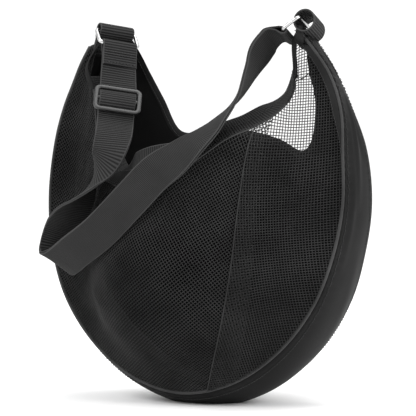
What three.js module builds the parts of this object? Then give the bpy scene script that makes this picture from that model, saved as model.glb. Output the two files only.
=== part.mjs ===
// Mesh ball bag: a crescent sling bag for one ball, with a net front, a plain
// back, a padded gusset between them, and one webbing strap from horn to horn.
// Millimetres. X runs from horn to horn, -Y is the net side, +Z is up, and the
// origin is the middle of the flat patch that the gusset stands on.
import * as THREE from 'three';
import { mergeVertices } from 'three/addons/utils/BufferGeometryUtils.js';

// ---- driving dimensions ----------------------------------------------------
const BALL_RADIUS = 121;
const BALL_CENTRE = new THREE.Vector3(0, 0, 136);

const WEBBING_WIDTH = 38;
const WEBBING_THICKNESS = 1.6;
const NET_THICKNESS = 1.2;
const BACK_THICKNESS = 1.8;
const GUSSET_THICKNESS = 4;
const CLEARANCE = 0.4;

const PIPING_RADIUS = 1.6;
const SEAM_INSET = 3.4;
const MOUTH_GAP = 1.5;
const TAPE_WIDTH = 12;
const TAPE_THICKNESS = 0.8;
const BINDING_WIDTH = 8;
const BINDING_THICKNESS = 2.4;

const RING_WIRE = 4;
const RING_SPAN = 47;
const RING_HEIGHT = 25;
const SLIDER_SPAN = 49;
const SLIDER_HEIGHT = 33;
const SLIDER_BAR = 4.5;
const SLIDER_THICKNESS = 3;

const PANEL_STEPS = 34;
const PANEL_ROWS = 9;
const RELAX_ROUNDS = 500;
const START_BULGE = 25;
const MOST_INSET = 0.35;

// The gusset's middle line from the left horn to the right one: x, z, half of
// its width, and how far the horn's twist pushes the front seam along X.
const GUSSET_STATIONS = [
  [-114, 368, 14, -15.5], [-130, 345, 15, -12.5], [-142, 324, 17, -9], [-155, 298, 21, -5],
  [-165, 264, 26, -2], [-172, 207, 30, 0], [-166, 154, 34, 0], [-146, 104, 41, 0],
  [-109, 59, 47, 0], [-60, 26, 51, 0], [0, 13, 53, 0], [60, 27, 51, 0],
  [111, 62, 47, 0], [145, 107, 40, 0], [164, 156, 34, 0], [174, 210, 30, 0],
  [171, 264, 26, 1], [161.5, 306, 20, 5], [145, 343, 16, 6], [114, 384, 14, 3],
];

// The net's free edge, left horn to right horn, each with the direction that
// the mouth band stands up from it.
const FRONT_MOUTH = [
  [[-119, -8, 374], [0.6, 0.8, 0.1]],
  [[-130, -24, 343], [0.5, 0.8, 0]],
  [[-119, -32, 322], [0.3, 1, 0]],
  [[-109, -43, 290], [0.2, 1, 0]],
  [[-99, -58, 258], [0.1, 1, 0.2]],
  [[-84, -72, 234], [0.1, 0.9, 0.5]],
  [[-52, -88, 225], [0, 0.5, 0.9]],
  [[-12, -97, 233], [0, 0.3, 1]],
  [[20, -95, 243], [0, 0.5, 1]],
  [[43, -87, 260], [0, 1, 1]],
  [[66, -74, 278], [-0.4, 0.8, 0.45]],
  [[90, -54, 291], [-0.69, 0.67, 0.27]],
  [[106, -36, 306], [-0.74, 0.6, 0.31]],
  [[112, -21, 324], [-0.63, 0.74, 0.24]],
  [[109, -14, 347], [-0.5, 0.86, -0.03]],
  [[106, -11, 374], [-0.5, 0.87, 0]],
  [[110, -9, 386], [-0.5, 0.87, 0]],
];

// The back panel's free edge, left horn to right horn.
const BACK_MOUTH = [
  [-99, 8, 374], [-89, 16, 352], [-81, 45, 308], [-72, 70, 270], [-30, 88, 274],
  [-8, 89, 273], [36, 82, 266], [78, 62, 256], [98, 48, 272], [105, 40, 296],
  [109, 31, 320], [107, 22, 345], [107, 12, 388],
];

// The strap's middle line with its width direction, from below the left ring's
// sewn fold, through the slider and the outer fold, to the right ring.
const STRAP_ROUTE = [
  [[-94, -22, 337], [0.66, 0.73, -0.17]],
  [[-87, -34.5, 320.2], [0.78, 0.62, -0.07]],
  [[-80.5, -48.3, 304.6], [0.78, 0.62, -0.07]],
  [[-74, -62, 289], [0.78, 0.62, -0.07]],
  [[-66, -79, 276], [0.87, 0.5, 0]],
  [[-64, -93, 258], [0.98, 0.12, 0.12]],
  [[-76, -95, 236], [0.78, -0.54, 0.3]],
  [[-95, -92, 212], [0.36, -0.82, 0.45]],
  [[-118, -82, 190], [-0.18, -0.81, 0.56]],
  [[-136, -68, 170], [-0.56, -0.6, 0.57]],
  [[-143, -64, 154], [-0.7, -0.45, 0.56]],
  [[-140, -72, 144], [-0.7, -0.42, 0.58]],
  [[-128, -83, 143], [-0.7, -0.4, 0.6]],
  [[-94, -105, 160], [-0.62, -0.4, 0.68]],
  [[-60, -117, 181], [-0.57, -0.38, 0.73]],
  [[-23, -117, 216], [-0.58, -0.28, 0.76]],
  [[-1, -106, 242], [-0.64, -0.14, 0.76]],
  [[20, -96, 259], [-0.73, 0.27, 0.6]],
  [[40, -88, 277], [-0.71, 0.63, 0.35]],
  [[52, -72, 294], [-0.6, 0.79, 0.12]],
  [[63, -51.5, 317], [-0.47, 0.87, -0.12]],
  [[69, -34, 343], [-0.24, 0.9, -0.37]],
  [[75.5, -24, 363], [-0.01, 0.8, -0.6]],
  [[79.5, -18.5, 371.5], [-0.03, 0.81, -0.58]],
  [[83, -13.8, 378], [-0.08, 0.86, -0.5]],
  [[88.3, -10.3, 381.8], [-0.18, 0.91, -0.37]],
];

// Where the strap route is cut into its hinged ends and its free middle.
const UPPER_RUN = [0, 0.105];
const OUTER_RUN = [0.108, 0.9];
const LOWER_RUN = [0.903, 1];
const SLIDER_AT = 0.062;
const DOUBLE_THICKNESS = 2 * WEBBING_THICKNESS + 0.4;

// Each horn's ring: the middle of the bar that hangs in the horn loop, the
// direction along that bar, and the direction to the bar that holds the strap.
const LEFT_RING = { bar: [-111.5, 1, 377], along: [0.6, 0.78, -0.18], hang: [0.57, -0.57, -0.6] };
const RIGHT_RING = { bar: [114, -1, 392.5], along: [-0.18, 0.91, -0.37], hang: [-0.72, -0.27, -0.65] };
const RING_BAR_SPACING = RING_HEIGHT - RING_WIRE;
const LOOP_BORE = 5;
const FOLD_BORE = RING_WIRE / 2 + 0.5;
const TIP_GAP = 20;
const TAB_THICKNESS = 7;
const TAB_OVERHANG = 3;
const TAB_REACH = TIP_GAP - 8;
const LEFT_TAB_FROM = 9;
const LEFT_TAIL_GAP = 6;
const RIGHT_TAB_FROM = 8;
const TAIL_GAP = 3.2;

// ---- small helpers ---------------------------------------------------------
const vec = ([x, y, z]) => new THREE.Vector3(x, y, z);
const mix = (a, b, t) => a.clone().lerp(b, t);
const curveThrough = (points) => new THREE.CatmullRomCurve3(points, false, 'centripetal');

function squareTo(direction, axis) {
  return direction.clone().addScaledVector(axis, -direction.dot(axis)).normalize();
}

// A geometry with its faces turned outwards, whichever way they were wound.
function closedGeometry(positions, index) {
  const corner = (i) => new THREE.Vector3().fromArray(positions, 3 * index[i]);
  let volume = 0;
  for (let i = 0; i < index.length; i += 3) {
    volume += corner(i).dot(corner(i + 1).cross(corner(i + 2)));
  }
  const facing = [];
  for (let i = 0; i < index.length; i += 3) {
    const [a, b, c] = index.slice(i, i + 3);
    facing.push(a, ...(volume > 0 ? [b, c] : [c, b]));
  }
  const geometry = new THREE.BufferGeometry();
  geometry.setAttribute('position', new THREE.Float32BufferAttribute(positions, 3));
  geometry.setIndex(facing);
  geometry.computeVertexNormals();
  return geometry;
}

// A closed shell between two grids of points that lie a thickness apart. Both
// faces are split along the same diagonals, so they can't cross where cloth twists.
function shellBetween(top, bottom) {
  const rings = top.map((row, i) => [...row, ...bottom[i].slice().reverse()]);
  const corners = rings[0].length;
  const rows = rings.length;
  const width = top[0].length;
  const positions = rings.flat().flatMap((p) => [p.x, p.y, p.z]);
  const index = [];
  for (let r = 0; r + 1 < rows; r += 1) {
    for (let c = 0; c < corners; c += 1) {
      const a = r * corners + c;
      const b = r * corners + ((c + 1) % corners);
      if (c < width) index.push(a, b, b + corners, a, b + corners, a + corners);
      else index.push(a, b, a + corners, b, b + corners, a + corners);
    }
  }
  for (const [row, flip] of [[0, true], [rows - 1, false]]) {
    for (let c = 0; c + 1 < width; c += 1) {
      const quad = [c, c + 1, corners - 2 - c, corners - 1 - c].map((k) => row * corners + k);
      const [a, b, d, e] = flip ? [...quad].reverse() : quad;
      index.push(a, b, d, a, d, e);
    }
  }
  return closedGeometry(positions, index);
}

// Offsets a grid along its own normals, by a distance for each of its rows.
function offsetGrid(grid, liftAt) {
  const rows = grid.length;
  const columns = grid[0].length;
  return grid.map((row, i) => row.map((point, j) => {
    const along = grid[Math.min(i + 1, rows - 1)][j].clone().sub(grid[Math.max(i - 1, 0)][j]);
    const across = row[Math.min(j + 1, columns - 1)].clone().sub(row[Math.max(j - 1, 0)]);
    return point.clone().addScaledVector(along.cross(across).normalize(), liftAt(i));
  }));
}

// Reads a grid between its own points, with u and v from 0 to 1.
function sampleGrid(grid, u, v) {
  const x = THREE.MathUtils.clamp(u, 0, 1) * (grid.length - 1);
  const y = THREE.MathUtils.clamp(v, 0, 1) * (grid[0].length - 1);
  const i = Math.min(Math.floor(x), grid.length - 2);
  const j = Math.min(Math.floor(y), grid[0].length - 2);
  const low = mix(grid[i][j], grid[i + 1][j], x - i);
  const high = mix(grid[i][j + 1], grid[i + 1][j + 1], x - i);
  return low.lerp(high, y - j);
}

// ---- materials -------------------------------------------------------------
const fabric = (color, roughness) => new THREE.MeshStandardMaterial({ color, roughness });
const metal = (color, roughness) => new THREE.MeshStandardMaterial({ color, roughness, metalness: 1 });
const NET = fabric(0x1c1d1c, 0.85);
const PLAIN = fabric(0x111211, 0.7);
const PADDED = fabric(0x161716, 0.6);
const WEBBING = fabric(0x2b2d2b, 0.75);
const TRIM = fabric(0x3c3d3c, 0.7);
const STEEL = metal(0xc4c6c6, 0.25);
const BLACK_METAL = metal(0x2a2c2d, 0.4);

const bag = new THREE.Group();

function addMesh(name, geometry, material) {
  const mesh = new THREE.Mesh(geometry, material);
  mesh.name = name;
  bag.add(mesh);
  return mesh;
}

// ---- seams and edges -------------------------------------------------------
const frontSeam = curveThrough(GUSSET_STATIONS.map(([x, z, half, lean]) => vec([x + lean, -half, z])));
const backSeam = curveThrough(GUSSET_STATIONS.map(([x, z, half, lean]) => vec([x - lean, half, z])));
const frontMouth = curveThrough(FRONT_MOUTH.map(([point]) => vec(point)));
const backMouth = curveThrough(BACK_MOUTH.map(vec));

// The point a fraction of the way along a curve, leaving the horn tips free.
function betweenTips(curve, fraction) {
  const start = TIP_GAP / curve.getLength();
  return start + (1 - 2 * start) * fraction;
}

// ---- panels: fabric pulled tight from seam to mouth, over the ball ---------
function tautPanel(seam, mouth, towards) {
  const grid = [];
  for (let i = 0; i <= PANEL_STEPS; i += 1) {
    const t = i / PANEL_STEPS;
    const low = seam.getPointAt(betweenTips(seam, t));
    const high = mouth.getPointAt(betweenTips(mouth, t));
    const row = [];
    for (let j = 0; j <= PANEL_ROWS; j += 1) {
      const s = j / PANEL_ROWS;
      const bulge = START_BULGE * Math.sin(Math.PI * s) * Math.sin(Math.PI * t) ** 2;
      row.push(mix(low, high, s).add(new THREE.Vector3(0, towards * bulge, 0)));
    }
    grid.push(row);
  }
  for (let round = 0; round < RELAX_ROUNDS; round += 1) {
    for (let i = 1; i < PANEL_STEPS; i += 1) {
      for (let j = 1; j < PANEL_ROWS; j += 1) {
        const point = grid[i - 1][j].clone().add(grid[i + 1][j]).add(grid[i][j - 1]).add(grid[i][j + 1]);
        point.multiplyScalar(0.25);
        grid[i][j] = outsideBall(point);
      }
    }
  }
  return grid;
}

function outsideBall(point) {
  const out = point.clone().sub(BALL_CENTRE);
  return out.length() < BALL_RADIUS ? BALL_CENTRE.clone().addScaledVector(out.normalize(), BALL_RADIUS) : point;
}

// Pulls a grid's seam edge and mouth edge back from their lines, and spaces
// its points evenly between them. A narrow stretch is pulled back less.
function insetEdges(grid, seamInset, mouthInset) {
  return grid.map((points) => {
    const row = new THREE.CurvePath();
    points.slice(1).forEach((point, j) => row.add(new THREE.LineCurve3(points[j], point)));
    const length = row.getLength();
    const first = Math.min(seamInset / length, MOST_INSET);
    const last = 1 - Math.min(mouthInset / length, MOST_INSET);
    return points.map((point, j) => row.getPointAt(first + (last - first) * (j / PANEL_ROWS)));
  });
}

function shell(grid, thickness, liftAt = () => 0) {
  const half = thickness / 2;
  return shellBetween(offsetGrid(grid, (i) => liftAt(i) + half), offsetGrid(grid, (i) => liftAt(i) - half));
}

const frontGrid = insetEdges(tautPanel(frontSeam, frontMouth, -1), SEAM_INSET, MOUTH_GAP);
const backGrid = insetEdges(tautPanel(backSeam, backMouth, 1), SEAM_INSET, BINDING_WIDTH + MOUTH_GAP);
addMesh('back_panel', shell(backGrid, BACK_THICKNESS), PLAIN);

// The front has two net panels. The right one laps over the left one, and its
// free hem runs from the bottom seam up to the mouth.
const HEM_AT_SEAM = 0.52;
const HEM_AT_MOUTH = 0.76;
const LAP_AT_SEAM = 0.04;
const LAP_AT_MOUTH = 0.06;
const LAP_GAP = 1.8;
const LAP_LIFT = NET_THICKNESS + LAP_GAP;
const LAP_FADE = 0.35;
const LEFT_NET_STEPS = 24;
const RIGHT_NET_STEPS = 20;

// A net panel between two edges, each given as its place along the front at the
// seam and at the mouth.
function netPanel(from, to, steps) {
  const grid = [];
  for (let i = 0; i <= steps; i += 1) {
    const row = [];
    for (let j = 0; j <= PANEL_ROWS; j += 1) {
      const v = j / PANEL_ROWS;
      const start = THREE.MathUtils.lerp(...from, v);
      const end = THREE.MathUtils.lerp(...to, v);
      row.push(sampleGrid(frontGrid, THREE.MathUtils.lerp(start, end, i / steps), v));
    }
    grid.push(row);
  }
  return grid;
}

// The right panel lies a lap's height above the left one, and settles onto the
// front's own surface beyond it.
function lapLift(i) {
  const past = i / RIGHT_NET_STEPS - LAP_FADE;
  return LAP_LIFT * (1 - THREE.MathUtils.smoothstep(past, 0, LAP_FADE));
}

const leftNet = netPanel([0, 0], [HEM_AT_SEAM + LAP_AT_SEAM, HEM_AT_MOUTH + LAP_AT_MOUTH], LEFT_NET_STEPS);
const rightNet = netPanel([HEM_AT_SEAM, HEM_AT_MOUTH], [1, 1], RIGHT_NET_STEPS);
addMesh('left_net_panel', shell(leftNet, NET_THICKNESS), NET);
addMesh('right_net_panel', shell(rightNet, NET_THICKNESS, lapLift), NET);

// ---- gusset and its seam tapes ---------------------------------------------
const GUSSET_STEPS = 52;
const GUSSET_COLUMNS = 6;
const CROWN_AT_TIP = 2;
const CROWN_AT_BASE = 17;
const CROWN_FALL = 5;

// A point on the gusset: t runs along it, v from the front seam to the back
// one, and out is the distance outwards from the crowned middle surface.
function gussetPoint(t, v, out) {
  const front = frontSeam.getPointAt(t);
  const back = backSeam.getPointAt(t);
  const along = frontSeam.getTangentAt(t);
  const outwards = squareTo(back.clone().sub(front), along).cross(along);
  const crown = CROWN_AT_TIP + (CROWN_AT_BASE - CROWN_AT_TIP) * Math.sin(Math.PI * t) ** CROWN_FALL;
  const point = mix(front, back, v).addScaledVector(outwards, crown * 4 * v * (1 - v) + out);
  const floor = GUSSET_THICKNESS / 2 - out;
  point.z = Math.max(point.z, floor);
  return point;
}

function gussetStrip(from, to, columns, out) {
  const grid = [];
  for (let i = 0; i <= GUSSET_STEPS; i += 1) {
    const t = betweenTips(frontSeam, i / GUSSET_STEPS);
    const width = frontSeam.getPointAt(t).distanceTo(backSeam.getPointAt(t));
    const row = [];
    for (let j = 0; j <= columns; j += 1) {
      const across = THREE.MathUtils.lerp(from(width), to(width), j / columns);
      row.push(gussetPoint(t, across / width, out));
    }
    grid.push(row);
  }
  return grid;
}

const gussetFrom = () => SEAM_INSET;
const gussetTo = (width) => width - SEAM_INSET;
addMesh('gusset', shellBetween(
  gussetStrip(gussetFrom, gussetTo, GUSSET_COLUMNS, GUSSET_THICKNESS / 2),
  gussetStrip(gussetFrom, gussetTo, GUSSET_COLUMNS, -GUSSET_THICKNESS / 2),
), PADDED);

const TAPE_TOP = -GUSSET_THICKNESS / 2 - 2 * CLEARANCE;
const TAPE_EDGE = 3.5;
const tapeWidth = (width) => Math.min(TAPE_WIDTH, width / 2 - TAPE_EDGE - 1.5);
for (const [name, from, to] of [
  ['front_seam_tape', () => TAPE_EDGE, (width) => TAPE_EDGE + tapeWidth(width)],
  ['back_seam_tape', (width) => width - TAPE_EDGE - tapeWidth(width), (width) => width - TAPE_EDGE],
]) {
  const outer = gussetStrip(from, to, 2, TAPE_TOP);
  const inner = gussetStrip(from, to, 2, TAPE_TOP - TAPE_THICKNESS);
  addMesh(name, shellBetween(outer, inner), TRIM);
}

// ---- piping along both seams -----------------------------------------------
const PIPING_STEPS = 56;

class Stretch extends THREE.Curve {
  constructor(curve, from, to) {
    super();
    Object.assign(this, { curve, from, to });
  }

  getPoint(t, target = new THREE.Vector3()) {
    return target.copy(this.curve.getPointAt(this.from + (this.to - this.from) * t));
  }
}

function cordAlong(curve, radius, steps) {
  const section = new THREE.Shape().absarc(0, 0, radius, 0, 2 * Math.PI);
  const options = { extrudePath: curve, steps, curveSegments: 4, bevelEnabled: false };
  return mergeVertices(new THREE.ExtrudeGeometry(section, options).deleteAttribute('uv'));
}

for (const [name, seam] of [['front_piping', frontSeam], ['back_piping', backSeam]]) {
  const stretch = new Stretch(seam, betweenTips(seam, 0), betweenTips(seam, 1));
  addMesh(name, cordAlong(stretch, PIPING_RADIUS, PIPING_STEPS), TRIM);
}

// ---- webbing and bindings --------------------------------------------------
// A flat band through stations { at, across }, with its faces square to both
// the route and the across direction.
const BAND_COLUMNS = 4;

function band(stations, width, thickness) {
  const face = (lift) => stations.map(({ at, across }, i) => {
    const before = stations[Math.max(i - 1, 0)].at;
    const after = stations[Math.min(i + 1, stations.length - 1)].at;
    const along = after.clone().sub(before).normalize();
    const side = squareTo(across, along);
    const middle = at.clone().addScaledVector(along.cross(side), lift);
    const row = [];
    for (let k = 0; k <= BAND_COLUMNS; k += 1) {
      row.push(middle.clone().addScaledVector(side, (k / BAND_COLUMNS - 0.5) * width));
    }
    return row;
  });
  return shellBetween(face(thickness / 2), face(-thickness / 2));
}

// Stations along an edge, each standing off it by half a width and a gap. They
// lie beside the panel's own points.
const BAND_REACH = [5, PANEL_STEPS - 3];
const bandAims = curveThrough(FRONT_MOUTH.map(([, aim]) => vec(aim)));
const mouthStations = [];
for (let i = BAND_REACH[0]; i <= BAND_REACH[1]; i += 1) {
  const t = betweenTips(frontMouth, i / PANEL_STEPS);
  const across = squareTo(bandAims.getPoint(frontMouth.getUtoTmapping(t)), frontMouth.getTangentAt(t));
  const standOff = WEBBING_WIDTH / 2 + MOUTH_GAP;
  mouthStations.push({ at: frontMouth.getPointAt(t).addScaledVector(across, standOff), across });
}
addMesh('mouth_band', band(mouthStations, WEBBING_WIDTH, WEBBING_THICKNESS), WEBBING);

const BINDING_REACH = [4, PANEL_STEPS - 3];
const bindingStations = backGrid.slice(BINDING_REACH[0], BINDING_REACH[1] + 1).map((row, k) => {
  const edge = row[PANEL_ROWS];
  const i = BINDING_REACH[0] + k;
  const along = backGrid[i + 1][PANEL_ROWS].clone().sub(backGrid[i - 1][PANEL_ROWS]).normalize();
  const across = squareTo(edge.clone().sub(row[PANEL_ROWS - 1]), along);
  const standOff = BINDING_WIDTH / 2 + MOUTH_GAP;
  return { at: edge.clone().addScaledVector(across, standOff), across };
});
addMesh('back_mouth_binding', band(bindingStations, BINDING_WIDTH, BINDING_THICKNESS), TRIM);

// ---- the strap -------------------------------------------------------------
const strapCurve = curveThrough(STRAP_ROUTE.map(([point]) => vec(point)));
const strapAcross = curveThrough(STRAP_ROUTE.map(([, across]) => vec(across)));

function strapStation(u) {
  const along = strapCurve.getTangentAt(u);
  const across = squareTo(strapAcross.getPoint(strapCurve.getUtoTmapping(u)), along);
  return { at: strapCurve.getPointAt(u), across, along, normal: along.clone().cross(across) };
}

function strapRun([from, to], steps, thickness) {
  const stations = [];
  for (let i = 0; i <= steps; i += 1) {
    stations.push(strapStation(from + (to - from) * (i / steps)));
  }
  return band(stations, WEBBING_WIDTH, thickness);
}

// From the slider to the right ring the strap lies doubled.
addMesh('strap_upper_run', strapRun(UPPER_RUN, 8, WEBBING_THICKNESS), WEBBING);
addMesh('strap_outer_run', strapRun(OUTER_RUN, 60, DOUBLE_THICKNESS), WEBBING);
addMesh('strap_lower_run', strapRun(LOWER_RUN, 6, DOUBLE_THICKNESS), WEBBING);

// ---- rings, loops and folds ------------------------------------------------
// Places a geometry drawn in XY so that X runs along one direction, Y along
// another and Z square to both, about a middle point.
function placed(geometry, at, xDirection, yDirection) {
  const y = yDirection.clone().normalize();
  const x = squareTo(xDirection, y);
  const basis = new THREE.Matrix4().makeBasis(x, y, x.clone().cross(y)).setPosition(at);
  return geometry.applyMatrix4(basis);
}

function roundedRectangle(target, width, height, radius, shiftY = 0) {
  const x = width / 2 - radius;
  const y = height / 2 - radius;
  const quarter = Math.PI / 2;
  target.absarc(x, shiftY + y, radius, 0, quarter);
  target.absarc(-x, shiftY + y, radius, quarter, 2 * quarter);
  target.absarc(-x, shiftY - y, radius, 2 * quarter, 3 * quarter);
  target.absarc(x, shiftY - y, radius, 3 * quarter, 4 * quarter);
  return target;
}

// A flat frame with windows, of a thickness centred on its plane, its corners
// eased by a bevel.
function windowFrame(span, height, radius, windows, thickness, bevel) {
  const shape = roundedRectangle(new THREE.Shape(), span - 2 * bevel, height - 2 * bevel, radius);
  shape.holes = windows.map(({ width, tall, shiftY }) => (
    roundedRectangle(new THREE.Path(), width + 2 * bevel, tall + 2 * bevel, 1.5 + bevel, shiftY)));
  const geometry = new THREE.ExtrudeGeometry(shape, {
    depth: thickness - 2 * bevel,
    curveSegments: 4,
    bevelSize: bevel,
    bevelThickness: bevel,
    bevelSegments: 1,
  });
  return geometry.translate(0, 0, bevel - thickness / 2);
}

const PLY_GAP = 0.4;
const CLOSE_AT = 1.9;
const CLOSED_LENGTH = 1.2;

// A strip of webbing folded round a bar: a round bore, two plies that close
// behind it, and a flat tail, drawn with the tail along +Y and cut to a width.
function foldedStrip(bore, thickness, tailLength, width) {
  const outer = bore + thickness;
  const half = thickness + PLY_GAP / 2;
  const close = Math.min(CLOSE_AT * outer, tailLength - 2);
  const shape = new THREE.Shape();
  shape.absarc(0, 0, outer, Math.PI, 2 * Math.PI);
  shape.lineTo(half, close);
  shape.lineTo(half, tailLength);
  shape.lineTo(-half, tailLength);
  shape.lineTo(-half, close);
  shape.closePath();
  const hole = new THREE.Path();
  hole.absarc(0, 0, bore, Math.PI, 2 * Math.PI);
  hole.lineTo(PLY_GAP / 2, close - CLOSED_LENGTH);
  hole.lineTo(-PLY_GAP / 2, close - CLOSED_LENGTH);
  hole.closePath();
  shape.holes = [hole];
  return new THREE.ExtrudeGeometry(shape, { depth: width, curveSegments: 10, bevelEnabled: false })
    .translate(0, 0, -width / 2)
    .rotateY(Math.PI / 2);
}

function ringParts({ bar, along, hang }) {
  const top = vec(bar);
  const side = vec(along).normalize();
  const down = squareTo(vec(hang), side);
  return { top, side, down, low: top.clone().addScaledVector(down, RING_BAR_SPACING) };
}

const ringWindow = { width: RING_SPAN - 2 * RING_WIRE, tall: RING_HEIGHT - 2 * RING_WIRE, shiftY: 0 };
const leftRing = ringParts(LEFT_RING);
const rightRing = ringParts(RIGHT_RING);
for (const [name, ring] of [['left_ring', leftRing], ['right_ring', rightRing]]) {
  const frame = windowFrame(RING_SPAN, RING_HEIGHT, 4, [ringWindow], RING_WIRE, 1);
  addMesh(name, placed(frame, mix(ring.top, ring.low, 0.5), ring.side, ring.down), STEEL);
}

// The strap's sewn end round the left ring, and its turn round the right one.
const strapStart = strapStation(0);
const strapEnd = strapStation(1);
const leftFoldTail = strapStart.at.clone().sub(leftRing.low);
const rightFoldTail = strapEnd.at.clone().sub(rightRing.low);
for (const [name, ring, tail] of [
  ['strap_left_end_fold', leftRing, leftFoldTail],
  ['strap_right_turn', rightRing, rightFoldTail],
]) {
  const fold = foldedStrip(FOLD_BORE, WEBBING_THICKNESS, tail.length() - TAIL_GAP, WEBBING_WIDTH);
  addMesh(name, placed(fold, ring.low, ring.side, squareTo(tail, ring.side)), WEBBING);
}

// ---- slider ----------------------------------------------------------------
const sliderWindowTall = (SLIDER_HEIGHT - 3 * SLIDER_BAR) / 2;
const sliderWindows = [-1, 1].map((side) => ({
  width: SLIDER_SPAN - 2 * SLIDER_BAR,
  tall: sliderWindowTall,
  shiftY: side * (sliderWindowTall + SLIDER_BAR) / 2,
}));
const WRAP_LIFT = WEBBING_THICKNESS / 2 + CLEARANCE + WEBBING_THICKNESS;
const SLIDER_LIFT = WRAP_LIFT + CLEARANCE + SLIDER_THICKNESS / 2 + WEBBING_THICKNESS / 2;
const slider = strapStation(SLIDER_AT);
const sliderMiddle = slider.at.clone().addScaledVector(slider.normal, SLIDER_LIFT);
addMesh('slider_frame', placed(
  windowFrame(SLIDER_SPAN, SLIDER_HEIGHT, 4, sliderWindows, SLIDER_THICKNESS, 0.6),
  sliderMiddle,
  slider.across,
  slider.along,
), BLACK_METAL);

// The webbing that rises through one window, over the middle bar and back
// through the other.
const WRAP_STEPS = 5;
const WRAP_HALF = SLIDER_HEIGHT / 2 - SLIDER_BAR - 1.2;
const WRAP_HEIGHT = SLIDER_THICKNESS / 2 + CLEARANCE + WEBBING_THICKNESS / 2;
const WRAP_DROP = WRAP_HEIGHT + SLIDER_THICKNESS / 2 + 0.6;
const wrapStations = [];
for (let i = -WRAP_STEPS; i <= WRAP_STEPS; i += 1) {
  const reach = i / WRAP_STEPS;
  const rise = WRAP_HEIGHT - WRAP_DROP * Math.abs(reach) ** 3;
  wrapStations.push({
    at: sliderMiddle.clone()
      .addScaledVector(slider.along, reach * WRAP_HALF)
      .addScaledVector(slider.normal, rise),
    across: slider.across,
  });
}
addMesh('strap_over_slider_bar', band(wrapStations, WEBBING_WIDTH - 0.6, WEBBING_THICKNESS), WEBBING);

// ---- horn loops and tabs ---------------------------------------------------
const TIP_SAMPLE = 0.03;

// A horn's tip, its direction out of the bag and the direction across it.
function hornTip(end) {
  const front = frontSeam.getPointAt(end);
  const back = backSeam.getPointAt(end);
  const beside = Math.abs(end - TIP_SAMPLE);
  const inner = mix(frontSeam.getPointAt(beside), backSeam.getPointAt(beside), 0.5);
  const tip = mix(front, back, 0.5);
  const across = back.clone().sub(front);
  return { tip, across, out: squareTo(tip.clone().sub(inner), across.clone().normalize()) };
}

const leftTip = hornTip(0);
const rightTip = hornTip(1);
function hornTab(name, middle, width, from, across, out) {
  const tab = new THREE.BoxGeometry(width, TAB_REACH - from, TAB_THICKNESS);
  addMesh(name, placed(tab, middle.clone().addScaledVector(out, -(from + TAB_REACH) / 2), across, out), TRIM);
}

hornTab('left_horn_tab', leftTip.tip, leftTip.across.length() + TAB_OVERHANG, LEFT_TAB_FROM,
  leftTip.across, leftTip.out);

const leftTabTop = leftTip.tip.clone().addScaledVector(leftTip.out, LEFT_TAIL_GAP - LEFT_TAB_FROM);
const leftLoopTail = leftTabTop.clone().sub(leftRing.top);
addMesh('left_horn_loop', placed(
  foldedStrip(LOOP_BORE, WEBBING_THICKNESS, squareLength(leftLoopTail, leftRing.side), WEBBING_WIDTH),
  leftRing.top,
  leftRing.side,
  squareTo(leftLoopTail, leftRing.side),
), WEBBING);

function squareLength(vector, axis) {
  return Math.sqrt(vector.lengthSq() - vector.dot(axis) ** 2);
}

// The right loop is a slack round one, drawn across its width.
const SLACK_LOOP = { halfLong: 11.5, halfTall: 12.2, at: [5, 5] };
const rightUp = squareTo(new THREE.Vector3(0, 0, 1), rightRing.side);
const rightOut = rightUp.clone().cross(rightRing.side).negate();
const slackShape = new THREE.Shape().absellipse(
  ...SLACK_LOOP.at, SLACK_LOOP.halfLong, SLACK_LOOP.halfTall, 0, 2 * Math.PI);
slackShape.holes = [new THREE.Path().absellipse(
  ...SLACK_LOOP.at, SLACK_LOOP.halfLong - WEBBING_THICKNESS, SLACK_LOOP.halfTall - WEBBING_THICKNESS,
  0, 2 * Math.PI)];
const slackLoop = new THREE.ExtrudeGeometry(slackShape, {
  depth: WEBBING_WIDTH,
  curveSegments: 16,
  bevelEnabled: false,
}).translate(0, 0, -WEBBING_WIDTH / 2);
const ringShift = rightRing.top.clone().sub(rightTip.tip).dot(rightRing.side);
const slackMiddle = rightTip.tip.clone().addScaledVector(rightRing.side, ringShift);
addMesh('right_horn_loop', placed(slackLoop, slackMiddle, rightOut, rightUp), WEBBING);
hornTab('right_horn_tab', slackMiddle, rightTip.across.length() + TAB_OVERHANG, RIGHT_TAB_FROM,
  rightRing.side, rightUp);

export default bag;
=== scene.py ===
"""Looks for the mesh ball bag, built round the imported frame. Lengths in the tables are
millimetres.
"""

import math

import bmesh
import bpy
import numpy as np
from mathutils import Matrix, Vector
from mathutils.bvhtree import BVHTree


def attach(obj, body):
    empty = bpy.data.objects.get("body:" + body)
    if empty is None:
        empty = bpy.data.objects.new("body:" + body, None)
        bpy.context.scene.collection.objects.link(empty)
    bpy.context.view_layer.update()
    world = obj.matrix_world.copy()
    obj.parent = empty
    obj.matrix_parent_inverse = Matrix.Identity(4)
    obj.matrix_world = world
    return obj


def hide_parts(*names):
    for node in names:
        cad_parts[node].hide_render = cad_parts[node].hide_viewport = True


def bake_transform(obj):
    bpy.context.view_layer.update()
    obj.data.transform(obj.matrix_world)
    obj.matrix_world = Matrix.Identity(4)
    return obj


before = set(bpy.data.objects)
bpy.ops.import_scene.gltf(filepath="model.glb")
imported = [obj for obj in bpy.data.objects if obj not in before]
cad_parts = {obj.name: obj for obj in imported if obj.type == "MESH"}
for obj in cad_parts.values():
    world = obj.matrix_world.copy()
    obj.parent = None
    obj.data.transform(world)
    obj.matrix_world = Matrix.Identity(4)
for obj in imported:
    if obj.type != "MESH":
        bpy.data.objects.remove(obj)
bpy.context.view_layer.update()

MM = 0.001
UP = np.array([0.0, 0.0, 1.0])
rng = np.random.default_rng(7)

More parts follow.
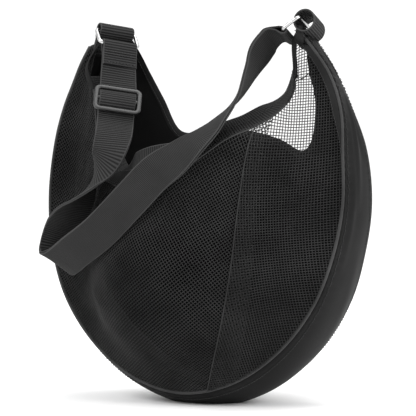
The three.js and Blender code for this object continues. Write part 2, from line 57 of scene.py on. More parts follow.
# ---- the shape's own numbers, the same as in the part's source ---------------
BALL_RADIUS = 121.0
BALL_CENTRE = np.array([0.0, 0.0, 136.0])
WEBBING_WIDTH = 38.0
WEBBING_THICKNESS = 1.6

GUSSET_STATIONS = [
    (-114, 368, 14, -15.5), (-130, 345, 15, -12.5), (-142, 324, 17, -9), (-155, 298, 21, -5),
    (-165, 264, 26, -2), (-172, 207, 30, 0), (-166, 154, 34, 0), (-146, 104, 41, 0),
    (-109, 59, 47, 0), (-60, 26, 51, 0), (0, 13, 53, 0), (60, 27, 51, 0),
    (111, 62, 47, 0), (145, 107, 40, 0), (164, 156, 34, 0), (174, 210, 30, 0),
    (171, 264, 26, 1), (161.5, 306, 20, 5), (145, 343, 16, 6), (114, 384, 14, 3),
]
FRONT_MOUTH = [
    ((-119, -8, 374), (0.6, 0.8, 0.1)), ((-130, -24, 343), (0.5, 0.8, 0)),
    ((-119, -32, 322), (0.3, 1, 0)), ((-109, -43, 290), (0.2, 1, 0)),
    ((-99, -58, 258), (0.1, 1, 0.2)), ((-84, -72, 234), (0.1, 0.9, 0.5)),
    ((-52, -88, 225), (0, 0.5, 0.9)), ((-12, -97, 233), (0, 0.3, 1)),
    ((20, -95, 243), (0, 0.5, 1)), ((43, -87, 260), (0, 1, 1)),
    ((66, -74, 278), (-0.4, 0.8, 0.45)), ((90, -54, 291), (-0.69, 0.67, 0.27)),
    ((106, -36, 306), (-0.74, 0.6, 0.31)), ((112, -21, 324), (-0.63, 0.74, 0.24)),
    ((109, -14, 347), (-0.5, 0.86, -0.03)), ((106, -11, 374), (-0.5, 0.87, 0)),
    ((110, -9, 386), (-0.5, 0.87, 0)),
]
BACK_MOUTH = [
    (-99, 8, 374), (-89, 16, 352), (-81, 45, 308), (-72, 70, 270), (-30, 88, 274),
    (-8, 89, 273), (36, 82, 266), (78, 62, 256), (98, 48, 272), (105, 40, 296),
    (109, 31, 320), (107, 22, 345), (107, 12, 388),
]
STRAP_ROUTE = [
    ((-94, -22, 337), (0.66, 0.73, -0.17)), ((-87, -34.5, 320.2), (0.78, 0.62, -0.07)),
    ((-80.5, -48.3, 304.6), (0.78, 0.62, -0.07)), ((-74, -62, 289), (0.78, 0.62, -0.07)),
    ((-66, -79, 276), (0.87, 0.5, 0)), ((-64, -93, 258), (0.98, 0.12, 0.12)),
    ((-76, -95, 236), (0.78, -0.54, 0.3)), ((-95, -92, 212), (0.36, -0.82, 0.45)),
    ((-118, -82, 190), (-0.18, -0.81, 0.56)), ((-136, -68, 170), (-0.56, -0.6, 0.57)),
    ((-143, -64, 154), (-0.7, -0.45, 0.56)), ((-140, -72, 144), (-0.7, -0.42, 0.58)),
    ((-128, -83, 143), (-0.7, -0.4, 0.6)), ((-94, -105, 160), (-0.62, -0.4, 0.68)),
    ((-60, -117, 181), (-0.57, -0.38, 0.73)), ((-23, -117, 216), (-0.58, -0.28, 0.76)),
    ((-1, -106, 242), (-0.64, -0.14, 0.76)), ((20, -96, 259), (-0.73, 0.27, 0.6)),
    ((40, -88, 277), (-0.71, 0.63, 0.35)), ((52, -72, 294), (-0.6, 0.79, 0.12)),
    ((63, -51.5, 317), (-0.47, 0.87, -0.12)), ((69, -34, 343), (-0.24, 0.9, -0.37)),
    ((75.5, -24, 363), (-0.01, 0.8, -0.6)), ((79.5, -18.5, 371.5), (-0.03, 0.81, -0.58)),
    ((83, -13.8, 378), (-0.08, 0.86, -0.5)), ((88.3, -10.3, 381.8), (-0.18, 0.91, -0.37)),
]
LEFT_RING = dict(bar=(-111.5, 1, 377), along=(0.6, 0.78, -0.18), hang=(0.57, -0.57, -0.6))
RIGHT_RING = dict(bar=(114, -1, 392.5), along=(-0.18, 0.91, -0.37), hang=(-0.72, -0.27, -0.65))
RING_WIRE = 4.0
RING_SPAN = 47.0
RING_HEIGHT = 25.0
SLIDER_SPAN = 49.0
SLIDER_HEIGHT = 33.0
SLIDER_BAR = 4.5
SLIDER_THICKNESS = 3.0
SLIDER_AT = 0.062
SLACK_LOOP = dict(half_long=11.5, half_tall=12.2, out=5.0, up=5.0)


# ---- vectors and curves ------------------------------------------------------
def unit(v):
    v = np.asarray(v, float)
    return v / np.maximum(np.linalg.norm(v, axis=-1, keepdims=True), 1e-12)


def square_to(direction, axis):
    direction = np.asarray(direction, float)
    along = np.sum(direction * axis, axis=-1, keepdims=True)
    return unit(direction - along * axis)


def smooth(x, low, high):
    t = np.clip((x - low) / (high - low), 0, 1)
    return t * t * (3 - 2 * t)


class Curve:
    """A centripetal Catmull-Rom curve, read by its own parameter or by arc length."""

    def __init__(self, points, divisions=800):
        self.p = np.array(points, float)
        self.t = np.linspace(0, 1, divisions + 1)
        steps = np.linalg.norm(np.diff(self.at(self.t), axis=0), axis=1)
        self.run = np.concatenate([[0], np.cumsum(steps)])
        self.length = self.run[-1]

    def at(self, t):
        t = np.atleast_1d(np.asarray(t, float))
        last = len(self.p) - 1
        place = np.clip(t, 0, 1) * last
        i = np.minimum(place.astype(int), last - 1)
        w = (place - i)[:, None]
        padded = np.vstack([2 * self.p[0] - self.p[1], self.p, 2 * self.p[-1] - self.p[-2]])
        x0, x1, x2, x3 = (padded[i + k] for k in range(4))
        d0, d1, d2 = (
            np.maximum(np.sum((b - a) ** 2, axis=1, keepdims=True), 1e-8) ** 0.25
            for a, b in ((x0, x1), (x1, x2), (x2, x3))
        )
        m1 = ((x1 - x0) / d0 - (x2 - x0) / (d0 + d1) + (x2 - x1) / d1) * d1
        m2 = ((x2 - x1) / d1 - (x3 - x1) / (d1 + d2) + (x3 - x2) / d2) * d1
        c2 = 3 * (x2 - x1) - 2 * m1 - m2
        c3 = 2 * (x1 - x2) + m1 + m2
        return x1 + m1 * w + c2 * w**2 + c3 * w**3

    def param(self, u):
        return np.interp(np.asarray(u, float) * self.length, self.run, self.t)

    def at_length(self, u):
        return self.at(self.param(u))

    def tangent(self, u):
        u = np.atleast_1d(u)
        return unit(self.at_length(np.minimum(u + 1e-3, 1)) - self.at_length(np.maximum(u - 1e-3,
            0)))


front_seam = Curve([(x + lean, -half, z) for x, z, half, lean in GUSSET_STATIONS])
back_seam = Curve([(x - lean, half, z) for x, z, half, lean in GUSSET_STATIONS])
front_mouth = Curve([p for p, _ in FRONT_MOUTH])
mouth_aims = Curve([a for _, a in FRONT_MOUTH])
back_mouth = Curve(BACK_MOUTH)
strap_curve = Curve([p for p, _ in STRAP_ROUTE])
strap_across = Curve([a for _, a in STRAP_ROUTE])


def ring_parts(bar, along, hang):
    top = np.array(bar, float)
    side = unit(along)
    down = square_to(hang, side)
    return dict(top=top, side=side, down=down, low=top + down * (RING_HEIGHT - RING_WIRE))


left_ring = ring_parts(**LEFT_RING)
right_ring = ring_parts(**RIGHT_RING)


# ---- meshes ------------------------------------------------------------------
def piece(name, verts, faces, material, uvs=None, flat=False):
    """A mesh object from millimetre points; uvs holds one pair per vertex."""
    mesh = bpy.data.meshes.new(name)
    mesh.from_pydata((np.asarray(verts, float) * MM).tolist(), [],
        [list(map(int, f)) for f in faces])
    mesh.validate()
    if uvs is not None:
        layer = mesh.uv_layers.new(name="UVMap")
        corner = np.zeros(len(mesh.loops), np.int32)
        mesh.loops.foreach_get("vertex_index", corner)
        layer.data.foreach_set("uv", np.asarray(uvs, np.float32)[corner].ravel())
    mesh.update()
    obj = bpy.data.objects.new(name, mesh)
    bpy.context.scene.collection.objects.link(obj)
    mesh.materials.append(material)
    if not flat:
        mesh.polygons.foreach_set("use_smooth", [True] * len(mesh.polygons))
    recalc_outward(mesh)
    return obj


def recalc_outward(mesh):
    """Turn every face of a closed mesh outward."""
    bm = bmesh.new()
    bm.from_mesh(mesh)
    bmesh.ops.recalc_face_normals(bm, faces=bm.faces)
    bm.to_mesh(mesh)
    bm.free()


def ring_faces(rings, corners, closed=False, offset=0):
    """Quads of a tube of rings; the two ends are capped unless it is closed."""
    faces = []
    for r in range(rings if closed else rings - 1):
        a = offset + r * corners
        b = offset + ((r + 1) % rings) * corners
        for c in range(corners):
            d = (c + 1) % corners
            faces.append((a + c, a + d, b + d, b + c))
    if not closed:
        faces.append(tuple(offset + c for c in reversed(range(corners))))
        faces.append(tuple(offset + (rings - 1) * corners + c for c in range(corners)))
    return faces


def grid_normals(grid):
    along = np.gradient(grid, axis=0)
    across = np.gradient(grid, axis=1)
    return unit(np.cross(along, across))


def shell(name, grid, thickness, material, lift=0.0):
    """A closed cloth shell of a thickness on both sides of a grid of points."""
    normals = grid_normals(grid)
    top = grid + normals * (lift + thickness / 2)
    bottom = grid + normals * (lift - thickness / 2)
    rings = np.concatenate([top, bottom[:, ::-1]], axis=1)
    rows, corners = rings.shape[:2]
    faces = ring_faces(rows, corners)[:-2]
    width = grid.shape[1]
    for row, flip in ((0, False), (rows - 1, True)):
        for c in range(width - 1):
            quad = [row * corners + k for k in (c, c + 1, corners - 2 - c, corners - 1 - c)]
            faces.append(quad[::-1] if flip else quad)
    u = np.linspace(0, 1, rows)[:, None] * np.ones(corners)
    v = np.concatenate([np.linspace(0, 1, width), np.linspace(1, 0, width)])[None,
        :] * np.ones((rows, 1))
    uvs = np.stack([u, v], axis=-1).reshape(-1, 2)
    return piece(name, rings.reshape(-1, 3), faces, material, uvs)


def frames_along(points, hint):
    """Tangents, and a pair of directions square to them, for a line of points."""
    along = unit(np.gradient(points, axis=0))
    side = square_to(hint, along)
    return along, side, np.cross(along, side)


def tube_rings(points, hint, half_wide, half_tall, corners):
    _, side, normal = frames_along(points, hint)
    angle = np.linspace(0, 2 * math.pi, corners, endpoint=False)
    ring = side[:, None] * (half_wide * np.cos(angle))[None, :, None]
    ring = ring + normal[:, None] * (half_tall * np.sin(angle))[None, :, None]
    return points[:, None] + ring


def closed_tube(points, hint, half_wide, half_tall, corners=12):
    """A tube round a closed line of points."""
    doubled = np.vstack([points[-1:], points, points[:1]])
    rings = tube_rings(doubled, hint, half_wide, half_tall, corners)[1:-1]
    return rings, ring_faces(len(rings), corners, closed=True)


# ---- materials ---------------------------------------------------------------
class Shader:
    """A node material built up step by step."""

    def __init__(self, name, **sockets):
        self.material = bpy.data.materials.new(name)
        self.material.use_nodes = True
        self.tree = self.material.node_tree
        self.bsdf = self.tree.nodes["Principled BSDF"]
        for key, value in sockets.items():
            self.bsdf.inputs[key.replace("_", " ")].default_value = value
        self.where = self.node("ShaderNodeTexCoord").outputs["Object"]
        self.uv = self.node("ShaderNodeUVMap").outputs["UV"]

    def node(self, kind, **settings):
        made = self.tree.nodes.new(kind)
        for key, value in settings.items():
            setattr(made, key, value)
        return made

    def link(self, a, b):
        self.tree.links.new(a, b)

    def noise(self, scale, detail=3.0, roughness=0.55, vector=None):
        made = self.node("ShaderNodeTexNoise")
        made.inputs["Scale"].default_value = scale
        made.inputs["Detail"].default_value = detail
        made.inputs["Roughness"].default_value = roughness
        self.link(vector or self.where, made.inputs["Vector"])
        return made.outputs["Fac"]

    def wave(self, scale, direction, vector=None, distortion=0.0):
        made = self.node("ShaderNodeTexWave", wave_type="BANDS", bands_direction=direction)
        made.inputs["Scale"].default_value = scale
        made.inputs["Distortion"].default_value = distortion
        self.link(vector or self.uv, made.inputs["Vector"])
        return made.outputs["Fac"]

    def math(self, operation, a, b):
        made = self.node("ShaderNodeMath", operation=operation)
        for socket, value in zip(made.inputs, (a, b)):
            if isinstance(value, (int, float)):
                socket.default_value = value
            else:
                self.link(value, socket)
        return made.outputs[0]

    def colours(self, factor, dark, light, low=0.35, high=0.65):
        ramp = self.node("ShaderNodeValToRGB")
        ramp.color_ramp.elements[0].position = low
        ramp.color_ramp.elements[1].position = high
        ramp.color_ramp.elements[0].color = (*dark, 1)
        ramp.color_ramp.elements[1].color = (*light, 1)
        self.link(factor, ramp.inputs["Fac"])
        self.link(ramp.outputs["Color"], self.bsdf.inputs["Base Color"])
        return self

    def roughness(self, factor, low, high):
        made = self.node("ShaderNodeMapRange")
        made.inputs["To Min"].default_value = low
        made.inputs["To Max"].default_value = high
        self.link(factor, made.inputs["Value"])
        self.link(made.outputs["Result"], self.bsdf.inputs["Roughness"])
        return self

    def bump(self, height, strength, distance):
        made = self.node("ShaderNodeBump")
        made.inputs["Strength"].default_value = strength
        made.inputs["Distance"].default_value = distance
        self.link(height, made.inputs["Height"])
        self.link(made.outputs["Normal"], self.bsdf.inputs["Normal"])
        return self


RIB_WAVE = math.pi / 10  # the wave texture's scale for one band per unit
# Distance from the webbing's middle, in centimetres, beyond which its edges take the light colour:
# a painted highlight.
EDGE_HIGHLIGHT_CM = 1.8


def grey(level, warm=0.0):
    return (level * (1 + warm), level, level * (1 - warm))


def cloth_material(name, dark, light, rough, sheen, weave, bump):
    s = Shader(name, Sheen_Weight=sheen, Sheen_Roughness=0.4, Specular_IOR_Level=0.1)
    patches = s.noise(22, 4)
    fine = s.noise(weave, 2, 0.7)
    s.colours(s.math("ADD", s.math("MULTIPLY", patches, 0.65), s.math("MULTIPLY", fine, 0.35)),
        dark, light)
    s.roughness(fine, rough - 0.07, rough + 0.07)
    s.bump(s.math("ADD", s.math("MULTIPLY", fine, 0.6), s.math("MULTIPLY", patches, 0.4)), bump,
        0.0004)
    return s.material


def webbing_material():
    """Ribbed webbing: the UV map's u counts its cross ribs and v runs across it in centimetres; its
    colour carries painted shade in the rib grooves and a painted highlight along both edges.
    """
    s = Shader("webbing", Specular_IOR_Level=0.12)
    # The rib phase also darkens the colour in the grooves between ribs: painted shade.
    ribs = s.wave(RIB_WAVE, "X")
    yarns = s.wave(RIB_WAVE * 11, "Y", distortion=0.8)
    worn = s.noise(42, 4)
    # weave mixes the painted groove shade from the ribs with the yarn pattern and random wear.
    weave = s.math("ADD", s.math("MULTIPLY", ribs, 0.5), s.math("MULTIPLY", yarns, 0.26))
    weave = s.math("ADD", weave, s.math("MULTIPLY", worn, 0.24))
    across = s.node("ShaderNodeSeparateXYZ")
    s.link(s.uv, across.inputs["Vector"])
    # Both edges of the webbing get the light colour: a painted highlight along the selvedges.
    edge = s.math("GREATER_THAN", s.math("ABSOLUTE", across.outputs["Y"], 0), EDGE_HIGHLIGHT_CM)
    # Colour: painted shade in the rib grooves and a painted highlight on both edges, with the yarn
    # pattern and random wear between.
    s.colours(s.math("MAXIMUM", weave, edge), grey(0.0012), grey(0.036), 0.2, 0.86)
    s.roughness(worn, 0.62, 0.82)
    s.bump(yarns, 0.35, 0.0002)
    return s.material


def metal_material(name, level, metallic, rough, coat=0.0, scratch=0.12):
    s = Shader(name, Metallic=metallic, Coat_Weight=coat, Coat_Roughness=0.15)
    stretched = s.node("ShaderNodeMapping")
    stretched.inputs["Scale"].default_value = (60, 60, 700)
    s.link(s.where, stretched.inputs["Vector"])
    rubbed = s.noise(2.5, 5, 0.7, stretched.outputs["Vector"])
    blotches = s.noise(70, 3)
    s.colours(blotches, grey(level * 0.82), grey(level), 0.3, 0.7)
    s.roughness(rubbed, rough, rough + scratch)
    s.bump(rubbed, 0.12, 0.00008)
    return s.material


WEBBING = webbing_material()
NET = cloth_material("net_thread", grey(0.012), grey(0.034), 0.7, 0.02, 1600, 0.3)
BACK = cloth_material("back_cloth", grey(0.0015), grey(0.004), 0.85, 0.0, 1400, 0.5)
GUSSET = cloth_material("gusset_cloth", grey(0.0025), grey(0.006), 0.6, 0.0, 2200, 0.25)
TRIM = cloth_material("binding_tape", grey(0.006), grey(0.015), 0.75, 0.0, 1500, 0.5)
PIPING = cloth_material("piping_cloth", grey(0.02), grey(0.045), 0.55, 0.05, 1300, 0.4)
THREAD = cloth_material("sewing_thread", grey(0.02), grey(0.045), 0.5, 0.05, 2500, 0.4)
STEEL = metal_material("nickel_plate", 0.5, 1.0, 0.2)
BLACK_METAL = metal_material("black_lacquer", 0.008, 0.2, 0.35, coat=0.2)


# ---- panels ------------------------------------------------------------------
def outside_ball(points, radius=BALL_RADIUS):
    out = points - BALL_CENTRE
    far = np.linalg.norm(out, axis=-1, keepdims=True)
    return np.where(far < radius, BALL_CENTRE + out * (radius / np.maximum(far, 1e-9)), points)


def relax(grid, rounds, radius):
    for _ in range(rounds):
        middle = 0.25 * (grid[:-2, 1:-1] + grid[2:, 1:-1] + grid[1:-1, :-2] + grid[1:-1, 2:])
        grid[1:-1, 1:-1] = outside_ball(middle, radius)
    return grid


def refine(grid, rows, columns):
    """The same grid read at more points."""
    i = np.linspace(0, grid.shape[0] - 1, rows)
    j = np.linspace(0, grid.shape[1] - 1, columns)
    a = np.minimum(i.astype(int), grid.shape[0] - 2)
    b = np.minimum(j.astype(int), grid.shape[1] - 2)
    u = (i - a)[:, None, None]
    v = (j - b)[None, :, None]
    low = grid[a][:, b] * (1 - u) + grid[a + 1][:, b] * u
    high = grid[a][:, b + 1] * (1 - u) + grid[a + 1][:, b + 1] * u
    return low * (1 - v) + high * v


def taut_panel(seam, mouth, towards, tip=7.0):
    """Cloth pulled tight from a seam to a mouth edge and over the ball."""
    def row_of(curve, t):
        gap = tip / curve.length
        return curve.at_length(gap + (1 - 2 * gap) * t)

    grid = None
    for rows, columns, rounds in ((35, 10, 700), (103, 28, 500), (205, 55, 160)):
        t = np.linspace(0, 1, rows)
        s = np.linspace(0, 1, columns)[None, :, None]
        low, high = row_of(seam, t)[:, None], row_of(mouth, t)[:, None]
        if grid is None:
            grid = low * (1 - s) + high * s
            grid[..., 1] += towards * 25 * np.sin(math.pi * s[..., 0]) * np.sin(math.pi * t)[:,
                None] ** 2
        else:
            grid = refine(grid, rows, columns)
        grid[:, 0], grid[:, -1] = low[:, 0], high[:, 0]
        relax(grid, rounds, BALL_RADIUS)
    return grid


def nearest_on_line(points, line):
    """Distance from each point to a polyline, and how far along it, 0 to 1."""
    best = np.full(points.shape[:-1], 1e9)
    where = np.zeros(points.shape[:-1])
    lengths = np.linalg.norm(np.diff(line, axis=0), axis=1)
    starts = np.concatenate([[0], np.cumsum(lengths)])
    for k in range(len(line) - 1):
        a, d = line[k], line[k + 1] - line[k]
        t = np.clip(np.sum((points - a) * d, axis=-1) / max(d @ d, 1e-9), 0, 1)
        gap = np.linalg.norm(points - (a + t[..., None] * d), axis=-1)
        closer = gap < best
        best = np.where(closer, gap, best)
        where = np.where(closer, (starts[k] + t * lengths[k]) / starts[-1], where)
    return best, where


def crease(grid, line, height, width):
    """Raises a soft ridge along a line, fading at the line's two ends and at the grid's edges."""
    gap, where = nearest_on_line(grid, np.array(line, float))
    edge = np.sin(math.pi * np.linspace(0, 1, grid.shape[1])) ** 0.5
    rise = height * np.exp(-((gap / width) ** 2)) * np.sin(math.pi * np.clip(where, 0.02,
        0.98)) ** 0.5
    return grid + grid_normals(grid) * (rise * edge[None, :])[..., None]


front_grid = taut_panel(front_seam, front_mouth, -1)
FRONT_OUT = -1.0 if np.mean(grid_normals(front_grid)[..., 1]) > 0 else 1.0
FRONT_CREASES = [
    ([(-124, -25, 345), (-134, -30, 318), (-138, -40, 280), (-138, -48, 240), (-136, -52, 205)],
        4.5, 5),
    ([(-148, -42, 135), (-120, -70, 116), (-85, -90, 104), (-40, -97, 98)], 2.4, 7),
    ([(-128, -34, 322), (-124, -42, 290), (-118, -52, 255), (-112, -60, 225)], 3.0, 4),
    ([(118, -20, 335), (124, -40, 300), (122, -62, 265), (118, -74, 245)], 3.2, 4),
    ([(126, -22, 330), (138, -36, 296), (140, -50, 262)], 2.6, 4),
    ([(140, -28, 318), (152, -36, 282), (156, -42, 240)], 2.0, 5),
]
for line, height, width in FRONT_CREASES:
    front_grid = crease(front_grid, line, FRONT_OUT * height, width)


# ---- nets: threads laid over a panel -----------------------------------------
NET_CENTRE = np.array([0.0, 90.0, 150.0])
NET_PITCH = 3.1


def surface_tree(grid):
    rows, columns = grid.shape[:2]
    index = np.arange(rows * columns).reshape(rows, columns)
    quads = np.stack([index[:-1, :-1], index[1:, :-1], index[1:, 1:], index[:-1, 1:]],
        axis=-1).reshape(-1, 4)
    return BVHTree.FromPolygons(grid.reshape(-1, 3).tolist(), quads.tolist())


ARC_ANGLES = np.linspace(0, 1.35, 400)
ARC_RADII = 211 + 64 * np.clip((ARC_ANGLES - 0.85) / 0.33, 0, 1.5) ** 2
ARC_LENGTHS = np.concatenate([[0], np.cumsum(
    np.hypot(ARC_RADII[1:], np.diff(ARC_RADII) / np.diff(ARC_ANGLES)) * np.diff(ARC_ANGLES))])


def net_direction(a, b):
    """The direction from the net's centre for a point of the flat net."""
    theta = np.interp(math.hypot(a, b), ARC_LENGTHS, ARC_ANGLES)
    phi = math.atan2(b, a)
    return Vector((math.sin(theta) * math.cos(phi), -math.cos(theta),
        math.sin(theta) * math.sin(phi)))


def net(name, grid, turn, thread, material, lift=0.0, pitch=NET_PITCH):
    """Square net threads over a grid: three-sided tubes that rise and fall at crossings."""
    tree = surface_tree(grid)
    origin = Vector(NET_CENTRE)
    cos, sin = math.cos(turn), math.sin(turn)

    def hit(i, j):
        a, b = (i * cos - j * sin) * pitch, (i * sin + j * cos) * pitch
        place, normal, _, _ = tree.ray_cast(origin, net_direction(a, b))
        if place is None:
            return None
        if normal.y > 0:
            normal = -normal
        return np.array(place), np.array(normal)

    reach = int(330 / pitch)
    found = {}
    for i in range(-reach, reach + 1):
        for j in range(-reach, reach + 1):
            if i * i + j * j <= reach * reach:
                h = hit(i, j)
                if h is not None:
                    found[i, j] = h

    def to_edge(i, j, di, dj):
        """The last point of a thread before the net's edge."""
        low, high, last = 0.0, 1.0, None
        for _ in range(5):
            mid = (low + high) / 2
            h = hit(i + di * mid, j + dj * mid)
            if h is None:
                high = mid
            else:
                low, last = mid, h
        return last

    verts, faces = [], []
    angles = [math.pi / 2, math.pi * 7 / 6, math.pi * 11 / 6]
    for di, dj in ((1, 0), (0, 1)):
        for i, j in found:
            if (i - di, j - dj) in found:
                continue
            run = []
            before = to_edge(i, j, -di, -dj)
            if before is not None:
                run.append((*before, 0))
            k, m = i, j
            while (k, m) in found:
                run.append((*found[k, m], 1 if (k + m + di) % 2 else -1))
                k, m = k + di, m + dj
            after = to_edge(k - di, m - dj, di, dj)
            if after is not None:
                run.append((*after, 0))
            if len(run) < 2:
                continue
            points = np.array([p + n * (lift + over * thread * 0.4) for p, n, over in run])
            normals = np.array([n for _, n, _ in run])
            along = unit(np.gradient(points, axis=0))
            side = unit(np.cross(along, normals))
            normals = np.cross(side, along)
            start = len(verts)
            for p, s, n in zip(points, side, normals):
                verts.extend(p + thread * (math.cos(t) * s + math.sin(t) * n) for t in angles)
            faces.extend(ring_faces(len(points), 3, offset=start))
    return piece(name, verts, faces, material)


HEM = (0.52, 0.76)
LAP = (0.56, 0.82)
rows, columns = front_grid.shape[:2]


def net_panel(start, end, count):
    """The front between two edges, each given by its place at the seam and the mouth."""
    made = []
    for v in range(columns):
        share = v / (columns - 1)
        low, high = (edge[0] + (edge[1] - edge[0]) * share for edge in (start, end))
        u = np.linspace(low, high, count) * (rows - 1)
        made.append(np.stack([np.interp(u, np.arange(rows),
            front_grid[:, v, k]) for k in range(3)], axis=-1))
    return np.stack(made, axis=1)


left_grid = net_panel((0, 0), LAP, 150)
right_grid = net_panel(HEM, (1, 1), 110)
lap_lift = 1.5 * (1 - smooth(np.linspace(0, 1, len(right_grid)), 0.3, 0.6))
right_grid = right_grid + grid_normals(right_grid) * (FRONT_OUT * lap_lift)[:, None, None]
for name, grid, turn, node in (
    ("left_net_threads", left_grid, 36, "left_net_panel"),
    ("right_net_threads", right_grid, 6, "right_net_panel"),
):
    made = net(name, grid, math.radians(turn), 0.5, NET)
    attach(made, "bag")
    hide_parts(node)


# ---- plain tubes, cords and stitches -----------------------------------------
def cord(name, points, hint, radius, material, corners=8):
    rings = tube_rings(points, hint, radius, radius, corners)
    return piece(name, rings.reshape(-1, 3), ring_faces(len(rings), corners), material)


def stitches(name, lines, body, length=2.4, gap=1.1, radius=0.34):
    """Rows of short thread stitches; each line is (points, directions away from the cloth)."""
    verts, faces = [], []
    for points, normals in lines:
        points, normals = np.asarray(points, float), np.asarray(normals, float)
        steps = np.concatenate([[0], np.cumsum(np.linalg.norm(np.diff(points, axis=0), axis=1))])
        normals = np.broadcast_to(normals, points.shape)

        def read(s, table):
            return np.stack([np.interp(s, steps, table[:, k]) for k in range(3)], axis=-1)

        for begin in np.arange(0.5, steps[-1] - length, length + gap):
            s = begin + np.linspace(0, length, 5)
            lift = np.array([-0.25, 0.3, 0.4, 0.3, -0.25])[:, None]
            middle = read(s, points) + unit(read(s, normals)) * lift
            rings = tube_rings(middle, unit(read(s, normals)), radius, radius, 5)
            faces.extend(ring_faces(5, 5, offset=len(verts)))
            verts.extend(rings.reshape(-1, 3))
    obj = piece(name, verts, faces, THREAD)
    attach(obj, body)
    return obj


for name, seam, node in (
    ("front_piping_cord", front_seam, "front_piping"),
    ("back_piping_cord", back_seam, "back_piping"),
):
    u = np.linspace(7 / seam.length, 1 - 7 / seam.length, 420)
    made = cord(name, seam.at_length(u), np.array([0, 1.0, 0]), 1.7, PIPING)
    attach(made, "bag")
    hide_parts(node)


# ---- gusset ------------------------------------------------------------------
def gusset_points(t, v, out, inset=0.0):
    """Points on the crowned gusset; t runs from horn to horn, v from front seam to back."""
    front, back = front_seam.at_length(t), back_seam.at_length(t)
    along = front_seam.tangent(t)
    width = np.linalg.norm(back - front, axis=1)
    outwards = np.cross(square_to(back - front, along), along)
    v = inset / width[:, None] + (1 - 2 * inset / width[:, None]) * v[None, :]
    crown = 2 + 15 * np.sin(math.pi * t) ** 5
    lift = (crown[:, None] * 4 * v * (1 - v))[..., None] * outwards[:, None] + out[...,
        None] * outwards[:, None]
    return front[:, None] * (1 - v[..., None]) + back[:, None] * v[..., None] + lift, width


def gusset_piece():
    rows, columns = 560, 25
    tip = 7 / front_seam.length
    t = np.linspace(tip, 1 - tip, rows)
    v = np.linspace(0, 1, columns)
    run = t * front_seam.length
    _, width = gusset_points(t, v, np.zeros((rows, columns)))
    front_gap = v[None, :] * width[:, None]
    back_gap = (1 - v[None, :]) * width[:, None]
    slow = np.interp(run, np.arange(0, run[-1] + 60, 23),
        rng.uniform(0.2, 1, int((run[-1] + 60) // 23) + 1))
    phase = 2 * math.pi * np.cumsum(1 / np.interp(run, np.arange(0, run[-1] + 90, 41),
                                                  rng.uniform(7, 13,
                                                      int((run[-1] + 90) // 41) + 1))
                                    ) * (run[1] - run[0])
    upper = 0.3 + 0.9 * smooth(run / run[-1], 0.6, 0.8)
    puckers = (1.1 * slow * upper * np.sin(phase))[:, None]
    out = puckers * np.exp(-((front_gap / 9) ** 2)) + 0.6 * puckers * np.exp(-((back_gap / 6) ** 2))
    for start, end, at_start, at_end, depth, spread in (
        (0.79, 0.97, 0.38, 0.62, 2.2, 0.1),
        (0.84, 0.99, 0.72, 0.45, -1.8, 0.09),
        (0.72, 0.9, 0.2, 0.3, 1.3, 0.08),
        (0.02, 0.16, 0.6, 0.4, 1.8, 0.12),
        (0.05, 0.2, 0.25, 0.4, -1.2, 0.1),
        (0.6, 0.75, 0.7, 0.62, 0.9, 0.13),
    ):
        place = np.clip((t - start) / (end - start), 0, 1)
        line = at_start + (at_end - at_start) * place
        fade = np.sin(math.pi * place) ** 0.7
        out = out + depth * fade[:, None] * np.exp(-(((v[None, :] - line[:, None]) / spread) ** 2))
    long_wave = np.interp(run, np.arange(0, run[-1] + 120, 60),
        rng.uniform(-1, 1, int((run[-1] + 120) // 60) + 1))
    out = out + 0.7 * long_wave[:, None] * np.sin(math.pi * v)[None, :]
    outer, _ = gusset_points(t, v, out + 1.6, inset=1.2)
    inner, _ = gusset_points(t, v, out - 1.6, inset=1.2)
    outer[..., 2] = np.maximum(outer[..., 2], 0.0)
    inner[..., 2] = np.maximum(inner[..., 2], 3.2)
    rings = np.concatenate([outer, inner[:, ::-1]], axis=1)
    made = piece("gusset_padding", rings.reshape(-1, 3), ring_faces(rows, 2 * columns), GUSSET)
    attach(made, "bag")
    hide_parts("gusset")
    rails = []
    for k in (2, columns - 3):
        outward = unit(outer[:, k] - inner[:, k])
        rails.append((outer[:, k] + outward * 0.15, outward))
    return rails


gusset_rails = gusset_piece()
made = stitches("gusset_topstitching", gusset_rails, "bag")

for name, node, start, end in (
    ("front_seam_binding", "front_seam_tape", 0.0, 1.0),
    ("back_seam_binding", "back_seam_tape", 1.0, 0.0),
):
    t = np.linspace(0.03, 0.97, 300)
    width = np.linalg.norm(back_seam.at_length(t) - front_seam.at_length(t), axis=1)
    near, far = 2.0, np.minimum(14, width / 2 - 2)
    strip = []
    for reach in np.linspace(0, 1, 4):
        gap = near + (far - near) * reach
        share = gap / width if start == 0 else 1 - gap / width
        front, back = front_seam.at_length(t), back_seam.at_length(t)
        along = front_seam.tangent(t)
        outwards = np.cross(square_to(back - front, along), along)
        crown = (2 + 15 * np.sin(math.pi * t) ** 5) * 4 * share * (1 - share)
        strip.append(front * (1 - share)[:, None] + back * share[:,
            None] + outwards * (crown - 3.2)[:, None])
    grid = np.stack(strip, axis=1)
    grid[..., 2] = np.maximum(grid[..., 2], 4.6)
    made = shell(name, grid, 0.8, TRIM)
    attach(made, "bag")
    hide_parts(node)


# ---- back panel --------------------------------------------------------------
back_grid = taut_panel(back_seam, back_mouth, 1)
for line, height, width in (
    ([(-150, 40, 150), (-110, 75, 120), (-60, 95, 96)], 1.6, 9),
    ([(150, 40, 170), (120, 70, 200), (95, 66, 235)], 1.8, 8),
    ([(-120, 30, 330), (-128, 44, 280), (-120, 66, 235)], 2.2, 7),
    ([(120, 22, 350), (134, 34, 310), (132, 48, 262)], 2.4, 7),
    ([(-148, 30, 240), (-140, 50, 200), (-118, 78, 170)], 1.4, 8),
):
    out = 1 if np.mean(grid_normals(back_grid)[..., 1]) > 0 else -1
    back_grid = crease(back_grid, line, out * height, width)
back = shell("back_panel_cloth", back_grid, 1.2, BACK)
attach(back, "bag")
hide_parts("back_panel")


# ---- webbing -----------------------------------------------------------------
SECTION = np.array([-1, -0.985, -0.95, -0.9, -0.5, 0, 0.5, 0.9, 0.95, 0.985, 1])


